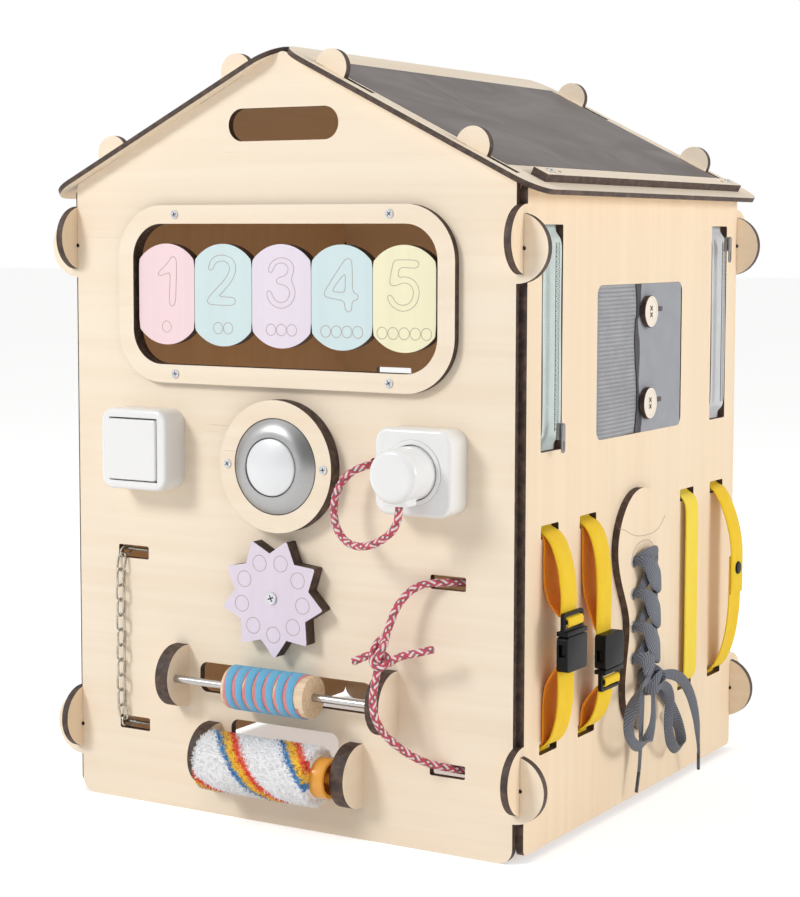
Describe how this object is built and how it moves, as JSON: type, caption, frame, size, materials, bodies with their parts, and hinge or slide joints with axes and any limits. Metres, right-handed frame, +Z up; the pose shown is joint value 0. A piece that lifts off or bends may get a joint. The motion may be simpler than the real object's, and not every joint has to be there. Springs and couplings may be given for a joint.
{
  "type": "toy busy house",
  "caption": "Free-standing plywood play house whose walls carry turning number tiles, switch, push lamp, plug, chain, gear, rollers, zips, buttons, straps and a lacing shoe.",
  "frame": {"origin": "middle of the front wall's bottom edge, half-way through its thickness", "axes": "+X along the front wall to the right as seen from the front, +Y into the house, +Z up"},
  "size_m": [0.4565, 0.4865, 0.6015],
  "materials": {
    "birch": "sanded birch plywood with laser-browned edges",
    "chalk": "matt chalkboard sheet",
    "pink_paint": "matt pink paint",
    "mint_paint": "matt mint paint",
    "lilac_paint": "matt lilac paint",
    "blue_paint": "matt light blue paint",
    "yellow_paint": "matt pale yellow paint",
    "zinc": "zinc-plated steel",
    "steel": "polished steel rod",
    "white_plastic": "glossy white plastic",
    "silver_lamp": "silver lacquered plastic",
    "frosted": "frosted lamp lens",
    "rope": "red and white braided cord",
    "ribbon": "sky blue and coral wound cord",
    "spool_wood": "turned wood",
    "plush": "white plush with coloured stripes",
    "orange_plastic": "orange roller core",
    "zip_tape": "grey-green zip tape",
    "zip_metal": "moulded zip teeth",
    "grey_fabric": "grey woven fabric",
    "button_wood": "pale wood with browned rim",
    "webbing": "yellow woven webbing",
    "black_plastic": "black moulded plastic",
    "lace": "grey woven lace"
  },
  "bodies": {
    "house": {"front_wall": "birch", "back_wall": "birch", "left_wall": "birch", "right_wall": "birch", "roof_left": "birch", "roof_right": "birch", "chalkboard": "chalk", "chalk_ledge": "birch", "panel_screws": "zinc", "gear_screw": "zinc", "window_frame": "birch", "number_axle": "steel", "switch_box": "white_plastic", "socket_box": "white_plastic", "socket_insert": "white_plastic", "plug_cord": "rope", "lamp_ring": "birch", "lamp_bowl": "silver_lamp", "chain": "zinc", "spool_brackets": "birch", "spool_rod": "steel", "roller_brackets": "birch", "roller_rod": "steel", "tie_rope_upper": "rope", "tie_rope_lower": "rope", "tie_rope_knot": "rope", "zip_tapes": "zip_tape", "zip_teeth": "zip_metal", "fabric_flap_under": "grey_fabric", "fabric_flap_over": "grey_fabric", "wooden_buttons": "button_wood", "buckle_females": "black_plastic", "straps_female": "webbing", "strap_flat": "webbing", "strap_snap": "webbing", "strap_snap_cap": "black_plastic", "shoe_plate": "birch", "shoe_eyelets": "zinc", "shoe_lace": "lace", "lace_bow": "lace"},
    "tile_1": {"number_tile_1": "pink_paint"},
    "tile_2": {"number_tile_2": "mint_paint"},
    "tile_3": {"number_tile_3": "lilac_paint"},
    "tile_4": {"number_tile_4": "blue_paint"},
    "tile_5": {"number_tile_5": "yellow_paint"},
    "rocker": {"switch_rocker": "white_plastic"},
    "plug": {"plug": "white_plastic", "plug_pins": "zinc"},
    "lamp_button": {"lamp_button": "frosted"},
    "star_gear": {"star_gear": "lilac_paint"},
    "spool": {"spool": "spool_wood", "spool_winding": "ribbon"},
    "roller": {"roller_core": "orange_plastic", "roller_sleeve": "plush"},
    "zip_slider_near": {"zip_slider_near": "zinc"},
    "zip_slider_far": {"zip_slider_far": "zinc"},
    "buckle_male_first": {"buckle_male_first": "black_plastic", "strap_male_first": "webbing"},
    "buckle_male_second": {"buckle_male_second": "black_plastic", "strap_male_second": "webbing"}
  },
  "joints": [
    {"name": "tile_1_flip", "type": "hinge", "parent": "house", "child": "tile_1", "pos_m": [-0.1088, -0.0015, 0.4122], "axis": [1, 0, 0], "continuous": true},
    {"name": "tile_2_flip", "type": "hinge", "parent": "house", "child": "tile_2", "pos_m": [-0.0544, -0.0015, 0.4122], "axis": [1, 0, 0], "continuous": true},
    {"name": "tile_3_flip", "type": "hinge", "parent": "house", "child": "tile_3", "pos_m": [0, -0.0015, 0.4122], "axis": [1, 0, 0], "continuous": true},
    {"name": "tile_4_flip", "type": "hinge", "parent": "house", "child": "tile_4", "pos_m": [0.0544, -0.0015, 0.4122], "axis": [1, 0, 0], "continuous": true},
    {"name": "tile_5_flip", "type": "hinge", "parent": "house", "child": "tile_5", "pos_m": [0.1088, -0.0015, 0.4122], "axis": [1, 0, 0], "continuous": true},
    {"name": "switch_rock", "type": "hinge", "parent": "house", "child": "rocker", "pos_m": [-0.126, -0.022, 0.29], "axis": [1, 0, 0], "range_deg": [-3, 3]},
    {"name": "plug_pull", "type": "slide", "parent": "house", "child": "plug", "axis": [0, -1, 0], "range_m": [0, 0.019]},
    {"name": "lamp_press", "type": "slide", "parent": "house", "child": "lamp_button", "axis": [0, 1, 0], "range_m": [0, 0.0025], "stiffness_N_per_m": 400, "springref_m": -0.001},
    {"name": "gear_spin", "type": "hinge", "parent": "house", "child": "star_gear", "pos_m": [-0.003, -0.009, 0.181], "axis": [0, -1, 0], "continuous": true},
    {"name": "spool_spin", "type": "hinge", "parent": "house", "child": "spool", "pos_m": [0, -0.021, 0.1095], "axis": [1, 0, 0], "continuous": true},
    {"name": "roller_spin", "type": "hinge", "parent": "house", "child": "roller", "pos_m": [0, -0.0245, 0.05], "axis": [1, 0, 0], "continuous": true},
    {"name": "zip_near_slide", "type": "slide", "parent": "house", "child": "zip_slider_near", "axis": [0, 0, 1], "range_m": [0, 0.125]},
    {"name": "zip_far_slide", "type": "slide", "parent": "house", "child": "zip_slider_far", "axis": [0, 0, 1], "range_m": [-0.125, 0]},
    {"name": "buckle_first_release", "type": "slide", "parent": "house", "child": "buckle_male_first", "axis": [0, 0, 1], "range_m": [0, 0.018], "deforming": ["strap_male_first"]},
    {"name": "buckle_second_release", "type": "slide", "parent": "house", "child": "buckle_male_second", "axis": [0, 0, -1], "range_m": [0, 0.018], "deforming": ["strap_male_second"]}
  ]
}
